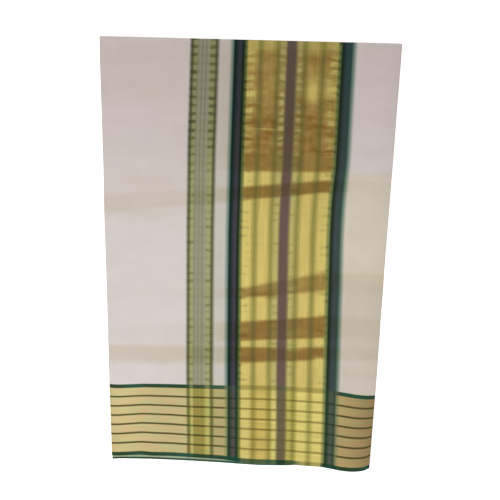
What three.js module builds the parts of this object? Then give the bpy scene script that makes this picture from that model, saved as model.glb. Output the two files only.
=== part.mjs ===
// A folded cotton saree, lying flat. Millimetres, +Z up.
//
// A saree is one uncut woven length. It is folded selvedge to selvedge, which makes the half fold
// along the top edge (+Y), and then to and fro along its length, which makes leaves of two plies
// with a turn at the left (-X) or at the right (+X). All the selvedges lie together at the bottom
// edge (-Y). The top leaf is built as its two plies, each a wall of cloth, and the leaves under it
// are one solid with a ridge for each layer along its four edges.
//
// The origin is at the middle of the underside.

import * as THREE from 'three';

// The cloth, and how many leaves it makes.
const LEAVES = 14;
const PLY = 1.0; // wall of one ply of the top leaf
const GAP = 0.3; // air between two pieces that lie on each other

// The outline of the folded stack.
const TOP_HALF_WIDTH = 202; // from the centre line to a side fold, at the half fold
const BOTTOM_HALF_WIDTH = 188.5; // and at the selvedges: the side folds lean in a little
const HALF_FOLD_Y = 304; // outer edge of the half fold
const SELVEDGE_Y = -304; // lowest point of the selvedges
const STACK_HEIGHT = 17; // top of the cloth where no crease lifts it

// The top leaf: its plies lie half a ply pitch above and below its middle surface, which turns
// under at both sides around a small radius.
const PLY_OFFSET = (PLY + GAP) / 2;
const LEAF_HALF = PLY_OFFSET + PLY / 2;
const TURN_RADIUS = LEAF_HALF + GAP;
const TURN_REACH = TURN_RADIUS + LEAF_HALF;

// The side folds aren't pressed sharp: the cloth eases down towards them.
const LEFT_EASE = { width: 12, drop: 1.2 };
const RIGHT_EASE = { width: 24, drop: 2.6 };

// Storage creases run from side to side. Each row is one line where the slope of the cloth
// changes, with its place at three distances from the centre line and how far it is lifted.
const CREASE_X = { left: -190, middle: 0, right: 110 };
const CREASES = [
  { left: 300, middle: 300, right: 300, lift: -0.2 },
  { left: 288, middle: 290, right: 291, lift: 0.5 },
  { left: 264, middle: 268, right: 270, lift: 0.7 },
  { left: 256, middle: 260, right: 263, lift: 0.3 },
  { left: 239, middle: 245, right: 248, lift: 0.7 },
  { left: 218, middle: 224, right: 227, lift: -0.3 },
  { left: 198, middle: 203, right: 206, lift: 0.0 },
  { left: 137, middle: 128, right: 122, lift: 0.6 },
  { left: 92, middle: 107, right: 120, lift: 0.0 },
  { left: 69, middle: 88, right: 98, lift: 1.5 },
  { left: -45, middle: -34, right: -10, lift: 0.5 },
  { left: -58, middle: -48, right: -36, lift: 1.7 },
  { left: -95, middle: -83, right: -73, lift: 0.7 },
  { left: -114, middle: -111, right: -104, lift: 2.7 },
  { left: -122, middle: -120, right: -118, lift: 2.0 },
  { left: -147, middle: -143, right: -136, lift: 3.6 },
  { left: -181, middle: -179, right: -184, lift: 2.6 },
  { left: -233, middle: -234, right: -240, lift: 1.6 },
];
const SELVEDGE_LIFT = 0.4;

// The two selvedges of the top leaf, from left to right. The back one shows at the left.
const SELVEDGES = [
  { x: -192, front: -287.5, back: -292.6 },
  { x: -140, front: -286.0, back: -291.5 },
  { x: -100, front: -286.5, back: -292.8 },
  { x: -28, front: -289.5, back: -294.6 },
  { x: 14, front: -294.4, back: -294.0 },
  { x: 86, front: -295.7, back: -294.0 },
  { x: 118, front: -298.2, back: -296.0 },
  { x: 150, front: -303.4, back: -301.5 },
  { x: 168, front: SELVEDGE_Y, back: -300.5 },
  { x: 190, front: -295.5, back: -293.0 },
];

// How finely the pieces are divided.
const COLUMNS = 14;
const TURN_STEPS = 6;
const HALF_FOLD_STEPS = 5;

// ---- small helpers ------------------------------------------------------------------------

const mix = (a, b, t) => a + (b - a) * t;

const clamp = (value, low, high) => Math.min(high, Math.max(low, value));

// Looks a column of a table up at x, in straight lines between its rows.
function lookUp(rows, column, x) {
  const last = rows.length - 1;
  if (x <= rows[0].x) return rows[0][column];
  if (x >= rows[last].x) return rows[last][column];
  const next = rows.findIndex((row) => row.x >= x);
  const from = rows[next - 1];
  const to = rows[next];
  return mix(from[column], to[column], (x - from.x) / (to.x - from.x));
}

function creaseY(crease, x) {
  const places = Object.keys(CREASE_X).map((name) => ({ x: CREASE_X[name], y: crease[name] }));
  return lookUp(places, 'y', x);
}

// Columns lie closer together near the side folds, where the cloth eases down.
const columnShare = (column) => (1 - Math.cos((Math.PI * column) / COLUMNS)) / 2;

// ---- the upper face of the stack ----------------------------------------------------------

// Rows run along the creases: row 0 is the selvedge and the last row is the half fold.
const ROWS = CREASES.length + 1;

function halfWidth(y) {
  const share = (y - SELVEDGE_Y) / (HALF_FOLD_Y - SELVEDGE_Y);
  return mix(BOTTOM_HALF_WIDTH, TOP_HALF_WIDTH, share);
}

function rowY(row, x, selvedge) {
  if (row === 0) return lookUp(SELVEDGES, selvedge, x);
  if (row === ROWS) return HALF_FOLD_Y - LEAF_HALF;
  return creaseY(CREASES[CREASES.length - row], x);
}

function rowLift(row) {
  if (row === 0) return SELVEDGE_LIFT;
  if (row === ROWS) return CREASES[0].lift;
  return CREASES[CREASES.length - row].lift;
}

// A point of the grid on the top face, with inset the distance kept from the side folds.
function facePoint(share, row, selvedge, inset) {
  const level = rowY(row, 0, selvedge);
  const reach = halfWidth(level) - inset;
  const x = mix(-reach, reach, share);
  return { x, y: rowY(row, x, selvedge), reach };
}

function ease(x, reach) {
  const left = clamp(1 - (x + reach) / LEFT_EASE.width, 0, 1);
  const right = clamp(1 - (reach - x) / RIGHT_EASE.width, 0, 1);
  return -LEFT_EASE.drop * left ** 2 - RIGHT_EASE.drop * right ** 2;
}

// Slope of the cloth where a side turn begins.
const edgeTilt = (side) => {
  const { width, drop } = side < 0 ? LEFT_EASE : RIGHT_EASE;
  return Math.atan2(2 * drop, width);
};

const faceHeight = (x, reach, row) => STACK_HEIGHT + rowLift(row) + ease(x, reach);

// ---- the top leaf -------------------------------------------------------------------------

// Stations go from the end of the left turn, over the face, to the end of the right turn.
function leafStations() {
  const stations = [];
  for (let step = 0; step < TURN_STEPS; step += 1) {
    stations.push({ side: -1, share: 0, turn: 1 - step / TURN_STEPS });
  }
  for (let column = 0; column <= COLUMNS; column += 1) {
    stations.push({ side: 0, share: columnShare(column), turn: 0 });
  }
  for (let step = 1; step <= TURN_STEPS; step += 1) {
    stations.push({ side: 1, share: 1, turn: step / TURN_STEPS });
  }
  return stations;
}

// A point at a height above the leaf's middle surface. A turn carries it round with its angle.
function leafPoint(station, row, selvedge, height, y) {
  const face = facePoint(station.share, row, selvedge, TURN_REACH);
  const middle = faceHeight(face.x, face.reach, row) - LEAF_HALF;
  const point = new THREE.Vector3(face.x, y ?? face.y, middle + height);
  if (station.side !== 0) {
    const tilt = edgeTilt(station.side);
    const angle = mix(tilt, Math.PI, station.turn);
    const centreX = face.x - station.side * TURN_RADIUS * Math.sin(tilt);
    const centreZ = middle - TURN_RADIUS * Math.cos(tilt);
    point.x = centreX + station.side * (TURN_RADIUS + height) * Math.sin(angle);
    point.z = centreZ + (TURN_RADIUS + height) * Math.cos(angle);
  }
  return point;
}

// A wall of cloth from two grids of points: its outside and its inside.
function wall(outside, inside) {
  const rows = outside.length;
  const columns = outside[0].length;
  const positions = [...outside, ...inside].flat().flatMap((p) => [p.x, p.y, p.z]);
  const at = (side, row, column) => (side * rows + row) * columns + column;
  const index = [];
  const quad = (a, b, c, d) => index.push(a, b, c, a, c, d);
  for (let r = 0; r + 1 < rows; r += 1) {
    for (let c = 0; c + 1 < columns; c += 1) {
      quad(at(0, r, c), at(0, r, c + 1), at(0, r + 1, c + 1), at(0, r + 1, c));
      quad(at(1, r, c), at(1, r + 1, c), at(1, r + 1, c + 1), at(1, r, c + 1));
    }
    quad(at(0, r, 0), at(0, r + 1, 0), at(1, r + 1, 0), at(1, r, 0));
    const end = columns - 1;
    quad(at(0, r, end), at(1, r, end), at(1, r + 1, end), at(0, r + 1, end));
  }
  for (let c = 0; c + 1 < columns; c += 1) {
    quad(at(0, 0, c), at(1, 0, c), at(1, 0, c + 1), at(0, 0, c + 1));
    const end = rows - 1;
    quad(at(0, end, c), at(0, end, c + 1), at(1, end, c + 1), at(1, end, c));
  }
  return closedGeometry(positions, index);
}

function closedGeometry(positions, index) {
  const geometry = new THREE.BufferGeometry();
  geometry.setAttribute('position', new THREE.Float32BufferAttribute(positions, 3));
  geometry.setIndex(index);
  geometry.computeVertexNormals();
  return geometry;
}

// The front ply lies over the face and goes round the half fold.
function frontPly() {
  const stations = leafStations();
  const skin = (height) => {
    const grid = [];
    for (let row = 0; row < ROWS; row += 1) {
      grid.push(stations.map((station) => leafPoint(station, row, 'front', height)));
    }
    for (let step = 0; step <= HALF_FOLD_STEPS; step += 1) {
      const angle = (Math.PI * step) / HALF_FOLD_STEPS;
      const y = HALF_FOLD_Y - LEAF_HALF + height * Math.sin(angle);
      const lift = height * Math.cos(angle);
      grid.push(stations.map((station) => leafPoint(station, ROWS, 'front', lift, y)));
    }
    return grid;
  };
  return wall(skin(LEAF_HALF), skin(PLY_OFFSET - PLY / 2));
}

// The back ply lies under it, from its own selvedge to just short of the half fold.
function backPly() {
  const stations = leafStations();
  const skin = (height) => {
    const grid = [];
    for (let row = 0; row < ROWS; row += 1) {
      grid.push(stations.map((station) => leafPoint(station, row, 'back', height)));
    }
    const end = HALF_FOLD_Y - LEAF_HALF - GAP;
    grid.push(stations.map((station) => leafPoint(station, ROWS, 'back', height, end)));
    return grid;
  };
  return wall(skin(-GAP / 2), skin(-LEAF_HALF));
}

// ---- the leaves under it ------------------------------------------------------------------

const RIDGED_LEAVES = LEAVES - 2; // below the leaf that meets the ends of the side turns
const LEVELS = 2 * RIDGED_LEAVES; // half a leaf each
const RIDGE = 1.3; // how deep a groove is cut between two layers
const TURNED_LEAF_DEPTH = 2 * TURN_RADIUS; // its upper face, below the top of the stack
const RIDGES_DEPTH = TURNED_LEAF_DEPTH + 2 * LEAF_HALF + GAP;

// A rounded ridge, as deep as RIDGE in its grooves. A fold at a side holds two leaves.
function groove(level, leavesInRidge, phase) {
  const span = 2 * leavesInRidge;
  const place = ((level + phase) % span) / span;
  const across = 2 * place - 1;
  return RIDGE * (1 - Math.sqrt(Math.max(0, 1 - across ** 2)));
}

// No two layers end at quite the same place.
const uneven = (level, amount, pace) => amount * Math.sin(pace * Math.ceil(level / 2));

const SETTLE = { left: 1.6, right: 1.6, top: 1.4, bottom: 2.2 };

// A point of one level: level 0 lies under the top leaf's turns, LEVELS is on the surface below.
function layerPoint(level, column, row) {
  const share = columnShare(column);
  const face = facePoint(share, row, 'back', TURN_REACH);
  const top = faceHeight(face.x, face.reach, row) - RIDGES_DEPTH;
  const height = top * (1 - level / LEVELS);
  const level0 = rowY(row, 0, 'back');
  const left = halfWidth(level0) - SETTLE.left - groove(level, 2, 0) + uneven(level, 0.9, 1.9);
  const right = halfWidth(level0) - SETTLE.right - groove(level, 2, 2) + uneven(level, 0.9, 2.6);
  const x = mix(-left, right, share);
  let y = rowY(row, x, 'back');
  if (row === 0) y += SETTLE.bottom + groove(level, 1, 0) + uneven(level, 1.2, 2.2);
  if (row === ROWS) y = HALF_FOLD_Y - SETTLE.top - groove(level, 1, 0) + uneven(level, 0.7, 1.3);
  return new THREE.Vector3(x, y, height);
}

// The leaf between the ends of the side turns, on top of the ridged layers. A turn starts on the
// eased slope, so its end comes in by the slope's share of the turn's radius.
function turnedLeafPoint(upper, column, row) {
  const slopeShift = TURN_RADIUS * Math.sin(Math.max(edgeTilt(-1), edgeTilt(1)));
  const face = facePoint(columnShare(column), row, 'back', TURN_REACH + slopeShift + GAP);
  const depth = upper ? TURNED_LEAF_DEPTH : RIDGES_DEPTH;
  let { y } = face;
  if (row === 0) y += SETTLE.bottom;
  if (row === ROWS) y = HALF_FOLD_Y - SETTLE.top;
  return new THREE.Vector3(face.x, y, faceHeight(face.x, face.reach, row) - depth);
}

// The columns and rows of the grid's rim, counter-clockwise seen from above.
function rim() {
  const around = [];
  for (let column = 0; column < COLUMNS; column += 1) around.push([column, 0]);
  for (let row = 0; row < ROWS; row += 1) around.push([COLUMNS, row]);
  for (let column = COLUMNS; column > 0; column -= 1) around.push([column, ROWS]);
  for (let row = ROWS; row > 0; row -= 1) around.push([0, row]);
  return around;
}

function foldedLayers() {
  const positions = [];
  const index = [];
  const add = (point) => positions.push(point.x, point.y, point.z) / 3 - 1;
  const around = rim();
  const ring = (place) => around.map(([column, row]) => add(place(column, row)));

  const rings = [ring((column, row) => turnedLeafPoint(true, column, row))];
  rings.push(ring((column, row) => turnedLeafPoint(false, column, row)));
  for (let level = 0; level <= LEVELS; level += 1) {
    rings.push(ring((column, row) => layerPoint(level, column, row)));
  }
  for (let k = 0; k + 1 < rings.length; k += 1) {
    for (let i = 0; i < around.length; i += 1) {
      const next = (i + 1) % around.length;
      const [a, b, c, d] = [rings[k][i], rings[k + 1][i], rings[k + 1][next], rings[k][next]];
      index.push(a, b, c, a, c, d);
    }
  }

  // Both caps are grids whose rim points are those of the first and the last ring.
  const cap = (rimRing, place, upwards) => {
    const grid = [];
    for (let row = 0; row <= ROWS; row += 1) {
      grid.push([]);
      for (let column = 0; column <= COLUMNS; column += 1) {
        const onRim = around.findIndex(([c, r]) => c === column && r === row);
        grid[row].push(onRim < 0 ? add(place(column, row)) : rimRing[onRim]);
      }
    }
    for (let row = 0; row < ROWS; row += 1) {
      for (let column = 0; column < COLUMNS; column += 1) {
        const [a, b] = [grid[row][column], grid[row][column + 1]];
        const [d, c] = [grid[row + 1][column], grid[row + 1][column + 1]];
        index.push(...(upwards ? [a, b, c, a, c, d] : [a, c, b, a, d, c]));
      }
    }
  };
  cap(rings[0], (column, row) => turnedLeafPoint(true, column, row), true);
  cap(rings.at(-1), (column, row) => layerPoint(LEVELS, column, row), false);
  return closedGeometry(positions, index);
}

// ---- the saree ----------------------------------------------------------------------------

const cloth = (color) => new THREE.MeshStandardMaterial({ color, roughness: 0.85, metalness: 0 });

const saree = new THREE.Group();
saree.name = 'folded_saree';

function addPiece(name, geometry, color) {
  const piece = new THREE.Mesh(geometry, cloth(color));
  piece.name = name;
  saree.add(piece);
}

addPiece('pallu_front', frontPly(), 0xc9bda6);
addPiece('pallu_back', backPly(), 0xc2ad6c);
addPiece('folded_layers', foldedLayers(), 0xcfc5b8);

export default saree;
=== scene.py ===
# %% [markdown]
# # A folded cotton saree
#
# A saree is one long woven cloth. This one lies folded, as it is kept in a shop or a cupboard:
# first in half, selvedge to selvedge, and then to and fro along its length, until all that shows
# is the decorated end, the pallu, with its gold bands and its bordered selvedge. In this lesson
# the cloth is laid out as flat grids of points, each grid is folded into place with a few lines
# of arithmetic, and the woven pattern is then drawn on the cloth's own coordinates.
#
# The folded solids of the part are loaded first. The cloth made below stands in for them, and they
# are hidden at the end.

# %% Load the frame
import math

import bpy
import numpy as np
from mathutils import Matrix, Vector, noise


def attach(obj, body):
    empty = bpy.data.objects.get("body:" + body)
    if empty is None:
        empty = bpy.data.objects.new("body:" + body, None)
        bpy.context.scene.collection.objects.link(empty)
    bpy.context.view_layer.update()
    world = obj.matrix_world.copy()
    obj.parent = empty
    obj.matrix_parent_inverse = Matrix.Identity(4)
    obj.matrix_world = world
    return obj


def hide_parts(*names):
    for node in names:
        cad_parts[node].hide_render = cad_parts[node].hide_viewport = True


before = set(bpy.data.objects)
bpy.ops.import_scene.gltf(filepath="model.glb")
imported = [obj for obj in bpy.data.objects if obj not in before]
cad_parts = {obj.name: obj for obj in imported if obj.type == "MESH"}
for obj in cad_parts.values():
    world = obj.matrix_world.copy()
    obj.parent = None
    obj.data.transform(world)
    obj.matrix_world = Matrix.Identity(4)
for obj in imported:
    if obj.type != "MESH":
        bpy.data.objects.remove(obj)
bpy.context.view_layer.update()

# %% [markdown]
# ## The view, the floor and the light
#
# The cloth is looked at from above, a little from its half fold, with a normal lens. A plain
# white table and soft light suit a white cotton. The zari, the metal-wrapped thread, is what
# needs care: it is a mirror for whatever is above it. One broad lamp stands on the selvedge
# side, so the cloth there shines, and the far third of it looks up at nothing bright and stays
# dull; painted shade in its colour makes it duller still. A single lamp right above would light
# cotton just as well, but the gold would look flat.

# %% The camera
MM = 0.001
STACK_HEIGHT = 17.0  # top of the cloth, in millimetres, where no crease lifts it
LENS = 60.0
SENSOR_WIDTH = 36.0
VIEW_FROM = (0.0003, 0.2334, 1.1371 + STACK_HEIGHT * MM)
VIEW_TILT = -10.65  # degrees off straight down, towards the selvedges
VIEW_TURN = 1.4  # degrees

scene = bpy.context.scene
camera_data = bpy.data.cameras.new("view")
camera_data.lens = LENS
camera_data.sensor_width = SENSOR_WIDTH
camera = bpy.data.objects.new("view", camera_data)
camera.location = VIEW_FROM
camera.rotation_euler = (math.radians(VIEW_TILT), 0.0, math.radians(VIEW_TURN))
scene.collection.objects.link(camera)
scene.camera = camera
scene.view_settings.view_transform = "Standard"
print("camera", round(camera.location.z, 3), "m above the table")

# %% The lights
LAMPS = [
    # name, place, looks at, across, along, watts
    ("selvedge_side", (-0.25, -0.42, 1.50), (0.0, 0.0, 0.0), 2.4, 1.5, 26.0),
    ("half_fold_side", (0.30, 1.50, 0.90), (0.0, 0.1, 0.0), 1.6, 0.5, 5.0),
]


def add_lamp(name, place, target, across, along, watts):
    data = bpy.data.lights.new(name, "AREA")
    data.shape = "RECTANGLE"
    data.size = across
    data.size_y = along
    data.energy = watts
    lamp = bpy.data.objects.new(name, data)
    lamp.location = place
    lamp.rotation_euler = (Vector(target) - Vector(place)).to_track_quat("-Z", "Y").to_euler()
    scene.collection.objects.link(lamp)


for row in LAMPS:
    add_lamp(*row)

WORLD_LIGHT = 0.14
WORLD_TINT = (1.0, 0.985, 0.96, 1.0)
world = bpy.data.worlds.new("studio")
world.use_nodes = True
background = world.node_tree.nodes["Background"]
background.inputs["Color"].default_value = WORLD_TINT
background.inputs["Strength"].default_value = WORLD_LIGHT
scene.world = world
print("lamps:", [row[0] for row in LAMPS])

# %% [markdown]
# ## Shader arithmetic in plain expressions
#
# A woven pattern is arithmetic on two numbers: how far along the cloth a point is, and how far
# from the selvedge. Written with Math nodes one by one it is hard to read, so a small class wraps
# a socket, and an expression such as `1 - mask * 0.5` adds the Math nodes by itself. Any other
# node comes from one method, `add`, which takes the node's type, its settings and its inputs.


# %% The socket wrapper
class Wire:
    """An output socket of a shader node, which can be used in arithmetic."""

    def __init__(self, shader, socket):
        self.shader = shader
        self.socket = socket

    def math(self, operation, *others):
        values = dict(enumerate((self, *others)))
        return self.shader.add("Math", {"operation": operation}, values)

    def __add__(self, other):
        return self.math("ADD", other)

    def __sub__(self, other):
        return self.math("SUBTRACT", other)

    def __rsub__(self, other):
        return self.math("MULTIPLY_ADD", -1.0, other)

    def __mul__(self, other):
        return self.math("MULTIPLY", other)

    def __truediv__(self, other):
        return self.math("DIVIDE", other)

    __radd__ = __add__
    __rmul__ = __mul__

    def step(self, low, high, to_low=0.0, to_high=1.0):
        """A smooth step: to_low where the value is under low, to_high where it is over high."""
        inputs = {0: self, 1: low, 2: high, 3: to_low, 4: to_high}
        settings = {"interpolation_type": "SMOOTHSTEP"}
        return self.shader.add("MapRange", settings, inputs)

    def band(self, middle, width, softness):
        """A mask that is 1 inside a line and falls to 0 over its soft edges."""
        aside = (self - middle).math("ABSOLUTE")
        return aside.step((width - softness) / 2, (width + softness) / 2, 1.0, 0.0)


class Shader:
    """A material's node tree, with the few kinds of step that a woven cloth needs."""

    def __init__(self, name):
        self.material = bpy.data.materials.new(name)
        self.material.use_nodes = True
        self.tree = self.material.node_tree
        self.surface = self.tree.nodes["Principled BSDF"]

    def add(self, kind, settings=None, inputs=None, output=0):
        node = self.tree.nodes.new("ShaderNode" + kind)
        for name, value in (settings or {}).items():
            setattr(node, name, value)
        for key, value in (inputs or {}).items():
            self.feed(node.inputs[key], value)
        return Wire(self, node.outputs[output])

    def feed(self, socket, value):
        if isinstance(value, Wire):
            self.tree.links.new(value.socket, socket)
        else:
            socket.default_value = value

    def mix(self, share, first, second):
        """Two colours, or colour wires, mixed."""
        return self.add(
            "Mix",
            {"data_type": "RGBA", "clamp_factor": True},
            {0: share, 6: first, 7: second},
            output=2,
        )

    def tinted(self, colour, tint, share=None):
        """A colour times another one, channel by channel, whole or in part."""
        inputs = {0: colour, 1: tint}
        whole = self.add("VectorMath", {"operation": "MULTIPLY"}, inputs)
        return whole if share is None else self.mix(share, colour, whole)

    def split(self, value, kind):
        """The three parts of a colour or of a vector."""
        node = self.add("Separate" + kind, None, {0: value}).socket.node
        return [Wire(self, output) for output in node.outputs]

    def finish(self, **inputs):
        for name, value in inputs.items():
            self.feed(self.surface.inputs[name.replace("_", " ").title()], value)
        return self.material


def srgb(red, green, blue, alpha=1.0):
    """A colour given from 0 to 255 as screens have it, as the light values that shaders use."""

    def light(value):
        share = value / 255
        return share / 12.92 if share <= 0.04045 else ((share + 0.055) / 1.055) ** 2.4

    return (light(red), light(green), light(blue), alpha)


print("white as light values:", srgb(255, 255, 255))

# %% The table
FLOOR_SIZE = 14.0
TABLE_WHITE = srgb(247, 246, 244)
TABLE_ROUGHNESS = 0.75
TABLE_GLOW = 0.60  # it shines a little by itself, so that it looks evenly white
bpy.ops.mesh.primitive_plane_add(size=FLOOR_SIZE, location=(0.0, 0.0, 0.0))
floor = bpy.context.object
floor.name = "table"
table_paint = Shader("white_table").finish(
    base_color=TABLE_WHITE,
    roughness=TABLE_ROUGHNESS,
    emission_color=(1.0, 1.0, 1.0, 1.0),
    emission_strength=TABLE_GLOW,
)
floor.data.materials.append(table_paint)
print("table", FLOOR_SIZE, "m across")

# %% [markdown]
# ## The shape that the folded cloth has
#
# The sizes below are the ones that the solids were made from, in millimetres. +Y is the half
# fold, -Y the selvedges. Years of folding have pressed creases across the pallu. Each row of
# `CREASES` is a line where the slope of the cloth changes: its place at the left, in the middle
# and at the right, how far the cloth is lifted there, how soft the bend is, and how much painted
# shade the cloth gets from this line down to the next one, at the left, on the gold and at the
# right. A crease could be drawn with a texture alone, but then it would vanish from the side, and
# gold thread only looks like metal when its surface really tilts. So the creases here are both:
# real slopes, and painted shade in the colour.

# %% Sizes of the stack
TOP_HALF_WIDTH = 202.0
BOTTOM_HALF_WIDTH = 188.5
HALF_FOLD_Y = 304.0
SELVEDGE_Y = -304.0
HEM_LEVEL = SELVEDGE_Y + 14.0  # where the front hem would be if it were straight
LEAF_HALF = 1.15
TURN_RADIUS = 1.45
TURN_REACH = TURN_RADIUS + LEAF_HALF
LEFT_EASE = {"width": 12.0, "drop": 1.2}
RIGHT_EASE = {"width": 24.0, "drop": 2.6}
SELVEDGE_LIFT = 0.4

CREASE_X = (-190.0, 0.0, 110.0)
TONE_X = (-120.0, -42.0, -14.0, 115.0, 145.0)
LIFT, BEND, TONES = 3, 4, 5  # columns of the table below
# left, middle and right place, lift, softness, and the painted crease shade at the left, on gold,
# at the right
CREASES = [
    (300, 300, 300, -0.2, 2.0, 0.10, 0.38, 0.10),
    (288, 290, 291, 0.5, 3.0, 0.20, 0.62, 0.10),
    (264, 268, 270, 0.7, 4.0, 0.15, 0.66, 0.05),
    (256, 260, 263, 0.3, 3.0, 0.15, 0.58, 0.05),
    (239, 245, 248, 0.7, 4.0, 0.20, 0.66, 0.00),
    (218, 224, 227, -0.3, 4.0, 0.10, 0.77, 0.00),
    (198, 203, 206, 0.0, 4.0, 0.10, 0.86, 0.00),
    (137, 129, 130, 0.6, 1.6, 0.10, 0.00, 0.36),
    (92, 108, 119, 0.0, 1.6, 0.46, 0.92, 0.42),
    (69, 89, 103, 1.5, 1.6, 0.00, 0.00, 0.40),
    (-45, -34, -10, 0.5, 2.0, 0.00, 0.76, 0.85),
    (-58, -48, -36, 1.7, 2.0, 0.00, 0.00, 0.68),
    (-95, -83, -73, 0.7, 1.8, 0.08, 0.97, 0.90),
    (-114, -111, -104, 2.7, 1.6, 0.10, 0.05, 0.75),
    (-122, -120, -118, 2.0, 1.6, 0.62, 1.00, 0.85),
    (-147, -143, -136, 3.6, 2.0, 0.00, 0.00, 0.62),
    (-181, -179, -184, 2.6, 5.0, 0.00, 0.00, 0.42),
    (-233, -234, -240, 1.6, 8.0, 0.00, 0.00, 0.48),
]
SELVEDGES = {
    "x": (
        -192, -176, -143, -131, -103, -77, -28, -2, 14, 28, 50, 72, 86, 101, 116, 131, 146, 160,
        168, 179, 185, 192,
    ),
    "front": (
        -290.4, -289.3, -287.0, -288.4, -288.1, -289.0, -291.3, -295.0, -296.3, -296.4, -296.4,
        -296.8, -298.4, -299.2, -299.9, -302.6, -305.6, -306.8, -306.5, -305.6, -303.4, -298.0,
    ),
    "back": (
        -296.0, -294.0, -293.6, -293.6, -294.3, -295.0, -296.7, -298.3, -299.0, -299.6, -299.4,
        -298.8, -297.0, -297.0, -298.0, -300.0, -303.0, -304.0, -303.5, -302.5, -300.5, -295.0,
    ),
}
HEM_EASE = (-4.0, -2.0, 0.0, 2.0, 4.0)
print(len(CREASES), "crease lines")

# %% Small ripples that lie on the creased face
# middle place, half length and half width, height, all in millimetres
RIPPLES = [
    (-150, 236, 60, 3.5, 0.22),
    (-140, 218, 55, 3.0, 0.18),
    (-110, 147, 95, 3.0, 0.30),
    (183, -97, 14, 2.2, 0.45),
    (180, -113, 15, 2.5, 0.40),
    (176, -66, 18, 4.0, 0.30),
    (30, 190, 60, 4.0, 0.12),
    (60, 215, 70, 3.0, 0.10),
]
RIPPLE_END = 1.25  # where a ripple ends, in half lengths
LONG_RIDGE = {"x": -140.0, "low": -300.0, "high": -186.0, "half_width": 4.0, "height": 0.45}
RIDGE_FADE = 12.0
# height, the sizes of a wave across and along the face, and its seed
WAVES = ((0.30, 70.0, 24.0, 0.0), (0.10, 26.0, 9.0, 7.0))


def smooth(share):
    share = np.clip(share, 0.0, 1.0)
    return share * share * (3.0 - 2.0 * share)


def half_width(y):
    share = (y - SELVEDGE_Y) / (HALF_FOLD_Y - SELVEDGE_Y)
    return BOTTOM_HALF_WIDTH + (TOP_HALF_WIDTH - BOTTOM_HALF_WIDTH) * share


def hem_line(x, selvedge):
    """The y of a selvedge at each x, as a soft line through the places in the table."""
    spots = [np.interp(x + aside, SELVEDGES["x"], SELVEDGES[selvedge]) for aside in HEM_EASE]
    return sum(spots) / len(spots)


def crease_lines(x):
    """The y of every crease line at each x, from the half fold down."""
    return [np.interp(x, CREASE_X, row[:3]) for row in CREASES]


def ramp(distance, softness):
    """Zero before a crease and the distance after it, with a bend as soft as told."""
    return (distance + np.sqrt(distance**2 + softness**2)) / 2.0


def lift(x, y):
    """How far the creases raise the face of the cloth."""
    places = [np.full_like(x, HEM_LEVEL), *crease_lines(x)[::-1]]
    heights = [SELVEDGE_LIFT] + [row[LIFT] for row in CREASES[::-1]]
    bends = [row[BEND] for row in CREASES[::-1]]
    slopes = [
        (heights[k + 1] - heights[k]) / (places[k + 1] - places[k])
        for k in range(len(places) - 1)
    ] + [np.zeros_like(x)]
    total = heights[0] + slopes[0] * (y - places[0])
    for k in range(1, len(places)):
        total = total + (slopes[k] - slopes[k - 1]) * ramp(y - places[k], bends[k - 1])
    return total


def ripples(x, y):
    total = np.zeros_like(x)
    for middle_x, middle_y, length, width, height in RIPPLES:
        fade = smooth(RIPPLE_END - np.abs(x - middle_x) / length)
        total += height * fade * np.exp(-(((y - middle_y) / width) ** 2))
    above = smooth((y - LONG_RIDGE["low"]) / RIDGE_FADE)
    inside = above * smooth((LONG_RIDGE["high"] - y) / RIDGE_FADE)
    across = np.exp(-(((x - LONG_RIDGE["x"]) / LONG_RIDGE["half_width"]) ** 2))
    return total + LONG_RIDGE["height"] * inside * across


def unevenness(x, y):
    """Hand-pressed cotton is never quite flat. The waves are longer across than along."""
    flat = np.column_stack([x.ravel(), y.ravel()])
    total = np.zeros(len(flat))
    for height, across, along, seed in WAVES:
        places = [Vector((a / across, b / along, seed)) for a, b in flat]
        total += [height * noise.noise(place) for place in places]
    return total.reshape(x.shape)


def ease(x, reach):
    left = np.clip(1.0 - (x + reach) / LEFT_EASE["width"], 0.0, 1.0)
    right = np.clip(1.0 - (reach - x) / RIGHT_EASE["width"], 0.0, 1.0)
    return -LEFT_EASE["drop"] * left**2 - RIGHT_EASE["drop"] * right**2


print("highest crease:", max(row[LIFT] for row in CREASES), "mm above", STACK_HEIGHT)

# %% [markdown]
# ## Where the pattern lies on the cloth
#
# The cloth gets its own coordinates, in metres, as its UV map `weave`. `along` runs with the
# length of the saree, across the stripes, and `edge` is the distance from the selvedge.
# Woven stripes are straight on the loom, but a cloth that has been folded often is pulled a
# little out of line. The tables say how far, so the stripes bow in the same gentle way.

# %% How the weave is pulled out of line
BOW_X = (-62.0, -15.0, 30.0, 125.0)
# y, then the shift at the narrow stripe, at the left, in the middle and at the right of the gold
BOWS = [
    (-300.0, 2.6, 2.9, 4.1, 2.8),
    (-245.0, 1.8, 2.1, 3.4, 2.0),
    (-160.0, 0.0, 0.7, 0.8, 0.5),
    (-22.0, -1.3, -1.4, -1.4, -1.3),
    (48.0, -1.7, -1.9, -2.2, -2.6),
    (95.0, -1.7, -1.5, -1.7, -1.8),
    (136.0, -1.7, -1.2, -0.6, 1.4),
    (160.0, -1.7, -1.0, -0.4, 1.9),
    (280.0, 0.7, 0.5, 0.3, 3.1),
    (305.0, 1.2, 0.8, 0.6, 3.6),
]
TOP_LINE_FROM_EDGE = 110.0  # middle of the border's upper line, from the selvedge
TOP_LINE = {
    "x": (-176, -140, -104, -30, 10, 58, 82, 114, 147, 162, 179),
    "y": (-182.8, -180.6, -180.2, -180.5, -179.5, -180.5, -181.4, -182.8, -187.4, -189.8, -191.3),
}
BOW_EASE = (-7.0, 0.0, 7.0)  # the shifts are averaged over these steps
# the border bulges beside the long ridge
RIDGE_PULL = {"x": LONG_RIDGE["x"] + 6.0, "reach": 60.0, "pull": 1.9}


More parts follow.
